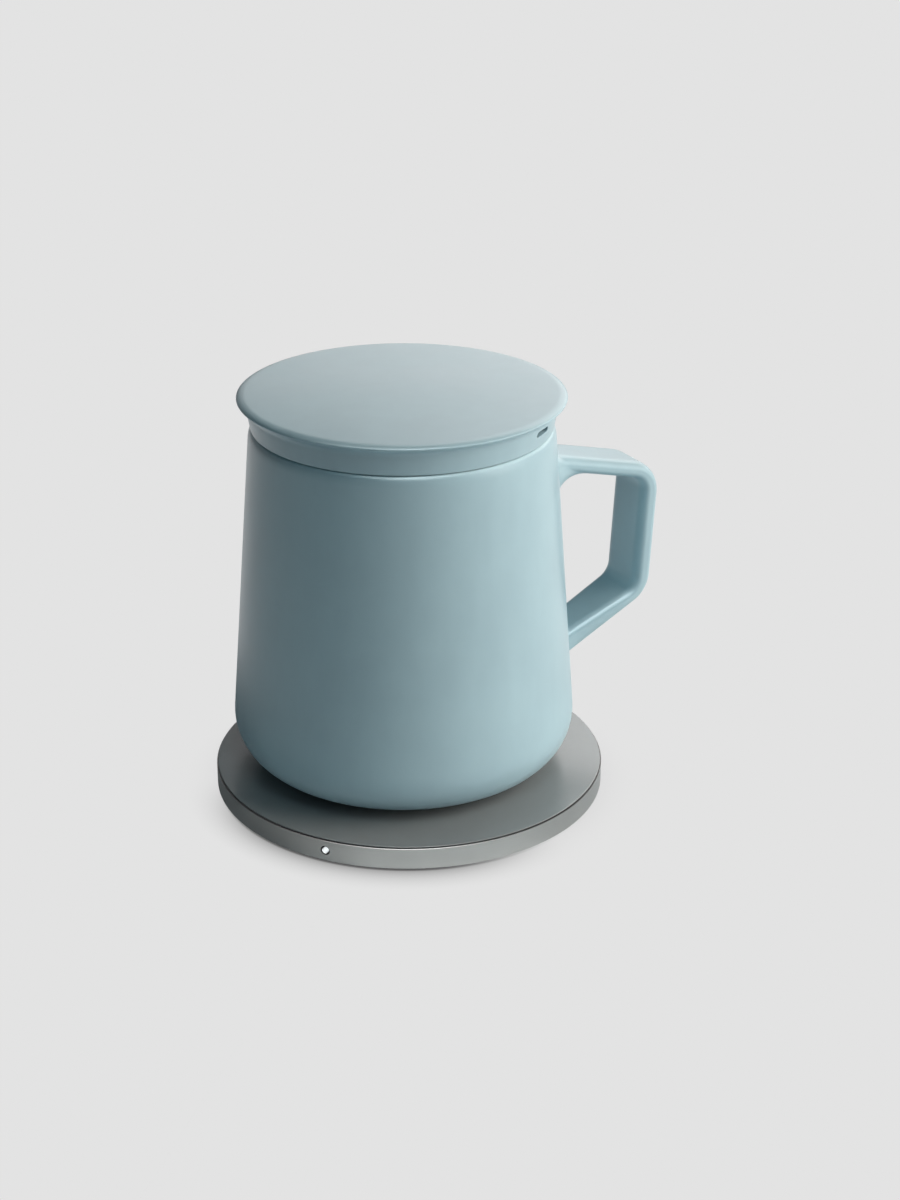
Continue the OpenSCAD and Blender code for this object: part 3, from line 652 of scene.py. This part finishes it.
# root: each line of the arm runs to the wall's cone and turns along it in a quarter round,
# as a curve through three control points with the middle weight of a circle
def root(last, toWall, bar, fillet, h):
    ax, ay = bar[:2]
    slope = math.tan(mug["taper"])
    px, py, pz = last.T
    dx, dz = toWall[0], toWall[2]
    r0 = wallRadius(pz)
    a = dx * dx - (slope * dz) ** 2
    b = px * dx + r0 * slope * dz
    c = px * px + py * py - r0 * r0
    run = (-b - np.sqrt(b * b - a * c)) / a
    meet = last + run[:, None] * toWall
    outer = np.cross(toWall, np.array([0.0, 1.0, 0.0]))
    outer = outer * np.sign(outer[2])
    outer = -outer if toWall[2] < 0 else outer
    facing = ax[:, None] * np.array([0.0, 1.0, 0.0]) + ay[:, None] * outer
    wall = np.stack([meet[:, 0], meet[:, 1], slope * wallRadius(meet[:, 2])], axis=-1)
    wall /= np.linalg.norm(wall, axis=1)[:, None]
    spread = facing - np.sum(facing * wall, axis=1)[:, None] * wall
    spread /= np.linalg.norm(spread, axis=1)[:, None]
    face = np.where(ay > 0, h["backFillet"], fillet)
    reach = np.hypot(fillet * h["sideShare"] * ax, face * ay)[:, None]
    first, foot = meet - reach * toWall, ontoWall(meet + reach * spread)
    k = np.linspace(0, 1, h["rootSteps"])[:, None, None]
    weight = math.sqrt(0.5)
    top = (1 - k) ** 2 * first + 2 * weight * k * (1 - k) * meet + k * k * foot
    curve = top / ((1 - k) ** 2 + 2 * weight * k * (1 - k) + k * k)
    rim, inside = (ontoWall(foot + h["apron"] * spread, depth) for depth in h["sunk"])
    close = np.repeat(inside.mean(axis=0)[None], len(inside), axis=0)
    return np.concatenate([curve, rim[None], inside[None], close[None]])


def buildHandle(h):
    bar = barSection(h)
    top, low, end = np.array(h["cornerTop"]), np.array(h["cornerLow"]), h["lowEnd"]
    gripAngle = math.degrees(math.atan2(*(low - top)[::-1]))
    topAngle, lowAngle = -h["slopes"][0], -180.0 + h["slopes"][1]
    wide, soft = h["edge"][0], h["softLow"]
    upper = bend(top, topAngle, topAngle - gripAngle, h["bends"][0], h["thick"][:2], (wide, wide), bar, h)
    lower = bend(low, gripAngle, gripAngle - lowAngle, h["bends"][1], h["thick"][1:], (wide, soft), bar, h)
    tip = np.array([[low[0], 0.0, low[1]]]) + end["run"] * heading(lowAngle)
    arm = sections(tip, np.array([lowAngle]), end["width"], np.array([end["thick"]]), np.array([soft]), bar, h)
    rootTop = root(upper[0], -heading(topAngle), bar, h["fillets"][0], h)[::-1]
    rootLow = root(arm[0], heading(lowAngle), bar, h["fillets"][1], h)
    k = np.linspace(0, 1, h["runSteps"])[1:-1, None, None]
    grid = np.concatenate([
        rootTop, rootTop[-1] + k * (upper[0] - rootTop[-1]),
        upper, upper[-1] + k * (lower[0] - upper[-1]),
        lower, lower[-1] + k * (arm[0] - lower[-1]),
        arm, arm[0] + k * (rootLow[0] - arm[0]), rootLow,
    ])
    faces = ringFaces(*grid.shape[:2]).reshape(-1, 4)
    piece = makePiece("mugHandle", onPad(grid.reshape(-1, 3)), faces, "glaze", "mug", h["sharp"])
    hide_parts("handle")


buildHandle(handle)

# lid

lid = {
    "neck": (37.3, 38.1),  # radius at the seat, and under the flare
    "seat": 96.75,
    "flare": (101.0, 2.85),  # where it starts, and how high it is
    "edge": (40.5, 0.3),  # outermost radius, and the rounding under it
    "shoulder": (2.3, 0.7),  # run and drop of the soft shoulder
    "crown": 0.8,
    "skirt": (31.19, 33.19, 89.55),  # inner and outer radius, and the lower end
    "roof": 102.45,
    "rounds": {"roof": 0.4, "skirt": 0.7, "seat": 0.15, "neck": 0.2},
    "roofGrid": (3.0, 7),  # spacing of the points, and points on an arc
    "skirtGrid": (0.8, 9),
    "flareSteps": 14,
    "underSteps": 9,
    "underTurn": -75.0,  # where the rounding under the edge starts, in degrees
    "shoulderSteps": 18,
    "topSteps": 48,
    "steps": 288,
    "vent": {
        "bearing": math.radians(-56.0), "level": 100.4, "width": 6.0, "height": 1.4, "round": 0.2,
        "outer": (98.8, 102.0), "inner": (99.0, 101.8),  # heights of the window cut for it, outside and inside
        "cols": 12, "rows": 9, "ringSteps": 8, "crowd": 1.4,
    },
}


# radius of the neck at a height: a slight cone, and above it an arc that ends at the underside of the edge
def neckRadius(z, d):
    start, rise = d["flare"]
    out = d["edge"][0] - d["edge"][1] - d["neck"][1]
    radius = (out * out + rise * rise) / (2 * out)
    cone = d["neck"][0] + (d["neck"][1] - d["neck"][0]) * (z - d["seat"]) / (start - d["seat"])
    up = np.clip(z - start, 0, rise)
    return np.where(z < start, cone, d["neck"][1] + radius - np.sqrt(radius * radius - up * up))


# height of the top at a radius: a shallow swell, and a quarter of an ellipse that drops to the edge
def lidTop(r, d):
    run, drop = d["shoulder"]
    reach = np.clip(r - (d["edge"][0] - run), 0, run) / run
    level = d["flare"][0] + d["flare"][1] + d["edge"][1]
    return level + d["crown"] * (1 - (r / d["edge"][0]) ** 2) + drop * np.sqrt(1 - reach * reach)


# outline from the middle of the roof down the inside, around the skirt, up the neck and over the top,
# with the rows at which the vent's inner and outer windows start
def lidOutline(d):
    vent, (inner, outer, low), rounds = d["vent"], d["skirt"], d["rounds"]
    tip, under = d["edge"]
    run = d["shoulder"][0]
    flareTop = d["flare"][0] + d["flare"][1]
    wallRows = np.linspace(*vent["inner"][::-1], vent["rows"])
    neckRows = np.linspace(*vent["outer"], vent["rows"])
    roof = roundOutline([
        (0, d["roof"], 0), (inner, d["roof"], rounds["roof"]), (inner, vent["inner"][1], 0),
    ], *d["roofGrid"])[:-1]
    skirt = roundOutline([
        (inner, vent["inner"][0], 0), (inner, low, rounds["skirt"]), (outer, low, rounds["skirt"]),
        (outer, d["seat"], rounds["seat"]), (d["neck"][0], d["seat"], rounds["neck"]),
        (float(neckRadius(neckRows[0], d)), neckRows[0], 0),
    ], *d["skirtGrid"])[1:-1]
    flare = np.linspace(neckRows[-1], flareTop, d["flareSteps"])[1:]
    turn = np.radians(np.linspace(d["underTurn"], 0, d["underSteps"]))
    drop = tip - run + run * np.cos(np.linspace(0, np.pi / 2, d["shoulderSteps"]))[1:]
    swell = (tip - run) * np.cos(np.linspace(0, np.pi / 2, d["topSteps"]))[1:-1]
    top = np.concatenate([drop, swell, [0.0]])
    return np.concatenate([
        roof,
        np.stack([np.full(len(wallRows), inner), wallRows], axis=1),
        skirt,
        np.stack([neckRadius(neckRows, d), neckRows], axis=1),
        np.stack([neckRadius(flare, d), flare], axis=1),
        np.stack([tip - under + under * np.cos(turn), flareTop + under * (1 + np.sin(turn))], axis=1),
        np.stack([top, lidTop(top, d)], axis=1),
    ]), len(roof), len(roof) + len(wallRows) + len(skirt)


# rows and columns of a window's border, once around from its lower left
def windowLoop(low, high, cols):
    step = 1 if high > low else -1
    tall = abs(high - low)
    up, down = np.arange(low, high, step), np.arange(high, low, -step)
    row = np.concatenate([np.full(cols, low), up, np.full(cols, high), down])
    col = np.concatenate([np.arange(cols), np.full(tall, cols), np.arange(cols, 0, -1), np.zeros(tall, int)])
    return row, col


# nearest point of a slot with round ends, from a point in its flat view, and the way out from the slot there
def slotPoint(flat, vent):
    half = (vent["width"] - vent["height"]) / 2
    core = np.stack([np.clip(flat[:, 0], -half, half), np.full(len(flat), vent["level"])], axis=1)
    out = flat - core
    out /= np.linalg.norm(out, axis=1)[:, None]
    return core + out * vent["height"] / 2, out


# vent: rings run over the neck from the window's border to the slot, turn in over a quarter round,
# pass through the wall, and spread to the inner window's border
def ventRings(outerFlat, innerFlat, d):
    vent = d["vent"]
    radius, b = vent["round"], vent["bearing"]
    slot, out = slotPoint(outerFlat, vent)
    k = (np.linspace(1, 0, vent["ringSteps"]) ** vent["crowd"])[:, None, None]
    over = slot + out * radius + (outerFlat - slot - out * radius) * k
    a = np.radians(np.linspace(0, 90, vent["ringSteps"]))[1:, None, None]
    turn = slot + out * radius * (1 - np.sin(a))
    flat = np.concatenate([over, turn])
    sunk = np.concatenate([0 * k, radius * (1 - np.cos(a))])[..., 0]
    reach = np.sqrt(neckRadius(flat[..., 1], d) ** 2 - flat[..., 0] ** 2) - sunk
    inSlot = slotPoint(innerFlat, vent)[0]
    k = np.linspace(0, 1, 3)[:, None, None]
    inFlat = inSlot + (innerFlat - inSlot) * k
    inReach = np.sqrt(d["skirt"][0] ** 2 - inFlat[..., 0] ** 2)
    flat, reach = np.concatenate([flat, inFlat]), np.concatenate([reach, inReach])
    return np.stack([reach * math.cos(b) - flat[..., 0] * math.sin(b),
                     reach * math.sin(b) + flat[..., 0] * math.cos(b), flat[..., 1]], axis=-1)


def buildLid(d):
    vent, steps = d["vent"], d["steps"]
    cols, last = vent["cols"], vent["rows"] - 1
    outline, wall, neck = lidOutline(d)
    grid = revolve(outline, steps, vent["bearing"] - cols / 2 * 2 * np.pi / steps)
    faces = ringFaces(len(outline), steps)
    keep = np.ones(faces.shape[:2], bool)
    keep[wall:wall + last, :cols] = False
    keep[neck:neck + last, :cols] = False
    across = np.array([-math.sin(vent["bearing"]), math.cos(vent["bearing"]), 0.0])
    outerLoop = grid[windowLoop(neck, neck + last, cols)]
    innerLoop = grid[windowLoop(wall + last, wall, cols)]
    flatViews = [np.stack([loop @ across, loop[:, 2]], axis=1) for loop in (outerLoop, innerLoop)]
    rings = ventRings(*flatViews, d)
    rings[0], rings[-1] = outerLoop, innerLoop
    points = np.concatenate([grid.reshape(-1, 3), rings.reshape(-1, 3)])
    ventFaces = ringFaces(*rings.shape[:2], len(outline) * steps).reshape(-1, 4)
    piece = makePiece("lidShell", onPad(points), np.concatenate([faces[keep], ventFaces]), "glaze", "lid")
    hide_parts("lid_shell")


buildLid(lid)

# coil

coil = {
    "turns": 9,
    "inner": 8.0,
    "outer": 27.5,
    "wire": 1.2,
    "level": 4.2,
    "bearing": math.radians(37.5),
    "strands": 7,
    "lay": 7.0,  # length in which a strand goes once around the wire
    "groove": 0.12,
    "turnSteps": 110,
    "ringSteps": 28,
    "endSteps": 6,
    "sharp": 50.0,
}


# flat spiral: the radius grows evenly with the turn, and both ends run on straight for one wire
# stranded wire: a circle with a groove between neighbouring strands, which wind around it with the length
def buildCoil(c):
    s = np.linspace(0, 1, c["turns"] * c["turnSteps"] + 1)
    turn = 2 * np.pi * c["turns"] * s + c["bearing"]
    r = c["inner"] + (c["outer"] - c["inner"]) * s
    path = np.stack([r * np.cos(turn), r * np.sin(turn)], axis=1)
    way = np.gradient(path, axis=0)
    way /= np.linalg.norm(way, axis=1)[:, None]
    ends = np.linspace(1, 0, c["endSteps"])[:-1, None] * c["wire"]
    path = np.concatenate([path[:1] - ends * way[:1], path, path[-1:] + ends[::-1] * way[-1:]])
    way = np.concatenate([np.repeat(way[:1], len(ends), axis=0), way, np.repeat(way[-1:], len(ends), axis=0)])
    length = np.concatenate([[0], np.cumsum(np.linalg.norm(np.diff(path, axis=0), axis=1))])
    a = np.linspace(0, 2 * np.pi, c["ringSteps"], endpoint=False)
    crest = np.abs(np.cos(c["strands"] / 2 * (a - 2 * np.pi * length[:, None] / c["lay"])))
    radius = c["wire"] / 2 * (1 - c["groove"] * (1 - crest))
    side = np.stack([way[:, 1], -way[:, 0]], axis=1)
    flat = path[:, None] + (radius * np.cos(a))[..., None] * side[:, None]
    grid = np.concatenate([flat, (c["level"] + radius * np.sin(a))[..., None]], axis=-1)
    close = np.repeat(grid.mean(axis=1)[:, None], len(a), axis=1)
    grid = np.concatenate([close[:1], grid, close[-1:]])
    faces = ringFaces(*grid.shape[:2]).reshape(-1, 4)
    piece = makePiece("coilWire", grid.reshape(-1, 3), faces, "copper", "pad", c["sharp"])
    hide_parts("induction_coil")


buildCoil(coil)

# stage and light: bearings in degrees to the right of the camera, seen from the pad, and heights above the floor

cameraBearing = -118.0  # of the camera itself, from +X
aim = Vector((0, 0, 0.05))  # what the lamps point at

stage = {
    "backdrop": 0.768,
    "glow": {  # what gloss shows of the backdrop
        "levels": (0.9, 3.5, 0.1),  # times the backdrop: at the floor, low down, high up
        "rise": (0.06, 0.18),  # sines of the heights between which it changes
        "fall": (0.24, 0.44),
        "bearing": 150.0,
        "spread": (0.66, 0.87),  # cosines of the angles from the bearing between which it fades
        "side": 0.2,  # what is left of it at the sides
    },
    "windows": [  # bright soft patches that only gloss shows, the last in place of the key lamp
        {"bearing": 164.0, "height": 36.0, "core": 8.0, "soft": 20.0, "level": 4.0},
        {"bearing": 300.0, "height": 80.0, "core": 18.0, "soft": 32.0, "level": 5.0},
        {"bearing": 10.0, "height": 56.0, "core": 16.0, "soft": 30.0, "level": 8.5},
        {"bearing": 77.0, "height": 23.0, "core": 16.0, "soft": 30.0, "level": 2.2},
    ],
    "fill": {"left": (0.02, 0.026, 0.03), "right": (0.062, 0.078, 0.087), "bearing": 80.0, "span": (-0.7, 0.5)},
    "lamps": {
        "keyLamp": {"bearing": 77.0, "height": 23.0, "far": 0.85, "size": (0.55, 0.85),
                    "watts": 10.8, "tint": (1.0, 0.885, 0.81), "gloss": False},
        "frontLamp": {"bearing": 12.0, "height": 58.0, "far": 0.9, "size": (0.25, 0.25),
                      "watts": 1.0, "tint": (0.74, 0.95, 1.0), "gloss": True},
        "backLamp": {"bearing": 128.0, "height": 33.0, "far": 0.9, "size": (0.75, 0.35),
                     "watts": 1.1, "tint": (1.0, 0.96, 0.92), "gloss": True},
    },
}

floorLook = {
    "side": 4.0,
    "level": -0.0001,
    "tints": [(0.84, 0.95, 1.0), (0.5, 0.58, 0.62)],  # near the pad and away from it
    "tintSpan": (0.10, 0.30),
    "gloss": (0.03, 1.0),  # share of its pale colour that gloss shows, near the pad and away from it
    "glossSpan": (0.075, 0.14),
    # painted shade: gloss sees the floor darker to the left and to the right of the pad
    "dims": [  # how much darker gloss shows it to the left and to the right
        {"bearing": 270.0, "span": (0.1, 0.8), "share": 0.6},
        {"bearing": 90.0, "span": (0.4, 0.9), "share": 0.3},
    ],
    "shade": {  # shadow close to the pad, deepest on one side
        "bearing": -20.0, "lean": 1.0, "reach": 0.0105, "samples": 24,
        "open": (0.2, 0.95), "depth": 0.85, "front": (0.35, 0.95), "least": 0.12,
    },
}


# direction at a bearing and a height
def stageWay(bearing, height=0.0):
    b, e = math.radians(bearing + cameraBearing), math.radians(height)
    return Vector((math.cos(b) * math.cos(e), math.sin(b) * math.cos(e), math.sin(e)))


# cosine of the angle between a direction and a fixed one
def along(tree, way, fixed):
    return put(tree, "ShaderNodeVectorMath", {0: way, 1: fixed}, operation="DOT_PRODUCT").outputs["Value"]


# share of a ray that sees a surface's own pale colour: all of what looks straight at it, and a part of what mirrors it
def seenDirect(tree, glossShare):
    path = tree.nodes.new("ShaderNodeLightPath").outputs
    direct = maths(tree, "MAXIMUM", path["Is Camera Ray"], path["Is Transmission Ray"])
    return maths(tree, "MAXIMUM", direct, maths(tree, "MULTIPLY", path["Is Glossy Ray"], glossShare))


def addLamp(name, lamp):
    data = bpy.data.lights.new(name, "AREA")
    data.shape = "RECTANGLE"
    data.size, data.size_y = lamp["size"]
    data.energy = lamp["watts"]
    data.color = lamp["tint"]
    light = bpy.data.objects.new(name, data)
    scene.collection.objects.link(light)
    light.visible_glossy = lamp["gloss"]
    light.location = stageWay(lamp["bearing"], lamp["height"]) * lamp["far"] + aim
    light.rotation_euler = (aim - light.location).to_track_quat("-Z", "Y").to_euler()


def addWorld(s):
    world = bpy.data.worlds.new("studio")
    scene.world = world
    world.use_nodes = True
    tree = world.node_tree
    way = tree.nodes.new("ShaderNodeTexCoord").outputs["Generated"]
    up = put(tree, "ShaderNodeSeparateXYZ", {0: way}).outputs["Z"]
    g = s["glow"]
    floorLevel, lowLevel, highLevel = g["levels"]
    rise = ramp(tree, up, g["rise"], floorLevel, lowLevel)
    fall = ramp(tree, up, g["fall"], 1.0, highLevel / lowLevel)
    back = ramp(tree, along(tree, way, stageWay(g["bearing"])), g["spread"], g["side"], 1.0)
    glow = maths(tree, "MULTIPLY", maths(tree, "MULTIPLY", rise, fall), back)
    for w in s["windows"]:
        near = along(tree, way, stageWay(w["bearing"], w["height"]))
        span = [math.cos(math.radians(w[key])) for key in ("soft", "core")]
        glow = maths(tree, "ADD", glow, ramp(tree, near, span, 0.0, w["level"]))
    glow = maths(tree, "MULTIPLY", glow, s["backdrop"])
    f = s["fill"]
    side = ramp(tree, along(tree, way, stageWay(f["bearing"])), f["span"])
    fill = blendColour(tree, side, f["left"], f["right"])
    gloss = tree.nodes.new("ShaderNodeLightPath").outputs["Is Glossy Ray"]
    sky = blendColour(tree, gloss, fill, glow)
    sky = blendColour(tree, seenDirect(tree, 0.0), sky, (s["backdrop"],) * 3)
    tree.links.new(sky, tree.nodes["Background"].inputs["Color"])


# floor: seen straight it is the backdrop's colour less the shadow, and for all other light it is a tinted matt sheet
def makeFloor(f, backdrop):
    material = bpy.data.materials.new("paleFloor")
    material.use_nodes = True
    tree = material.node_tree
    tree.nodes.remove(tree.nodes["Principled BSDF"])
    spot = tree.nodes.new("ShaderNodeTexCoord").outputs["Object"]
    facing = put(tree, "ShaderNodeVectorMath", {0: spot}, operation="NORMALIZE").outputs[0]
    away = put(tree, "ShaderNodeVectorMath", {0: spot}, operation="LENGTH").outputs["Value"]
    s = f["shade"]
    toward = stageWay(s["bearing"])
    lean = (toward * -s["lean"] + Vector((0, 0, 1))).normalized()
    cover = {"Distance": s["reach"], "Normal": lean}
    near = put(tree, "ShaderNodeAmbientOcclusion", cover, samples=s["samples"]).outputs["AO"]
    shade = ramp(tree, near, s["open"], s["depth"], 0.0, smooth=False)
    front = ramp(tree, along(tree, facing, toward), s["front"], s["least"], 1.0)
    kept = maths(tree, "SUBTRACT", 1.0, maths(tree, "MULTIPLY", shade, front))
    pale = put(tree, "ShaderNodeEmission", {"Color": maths(tree, "MULTIPLY", kept, backdrop)})
    tint = blendColour(tree, ramp(tree, away, f["tintSpan"]), *f["tints"])
    glossy = tree.nodes.new("ShaderNodeLightPath").outputs["Is Glossy Ray"]
    # painted shade in what gloss sees of the floor, to the left and to the right
    dims = [ramp(tree, along(tree, facing, stageWay(d["bearing"])), d["span"], 0.0, d["share"]) for d in f["dims"]]
    dim = maths(tree, "MULTIPLY", glossy, maths(tree, "ADD", *dims))
    plain = put(tree, "ShaderNodeBsdfDiffuse", {"Color": blendColour(tree, dim, tint, (0.0, 0.0, 0.0))})
    seen = seenDirect(tree, ramp(tree, away, f["glossSpan"], *f["gloss"]))
    mixed = put(tree, "ShaderNodeMixShader", {0: seen, 1: plain.outputs[0], 2: pale.outputs[0]})
    tree.links.new(mixed.outputs[0], tree.nodes["Material Output"].inputs["Surface"])
    return material


def addStage(s, f):
    addWorld(s)
    corners = [(x * f["side"], y * f["side"], f["level"]) for x, y in ((-1, -1), (1, -1), (1, 1), (-1, 1))]
    mesh = bpy.data.meshes.new("paleFloor")
    mesh.from_pydata(corners, [], [(0, 1, 2, 3)])
    mesh.materials.append(makeFloor(f, s["backdrop"]))
    floor = bpy.data.objects.new("paleFloor", mesh)
    scene.collection.objects.link(floor)
    for name, lamp in s["lamps"].items():
        addLamp(name, lamp)


addStage(stage, floorLook)
print("stage set")
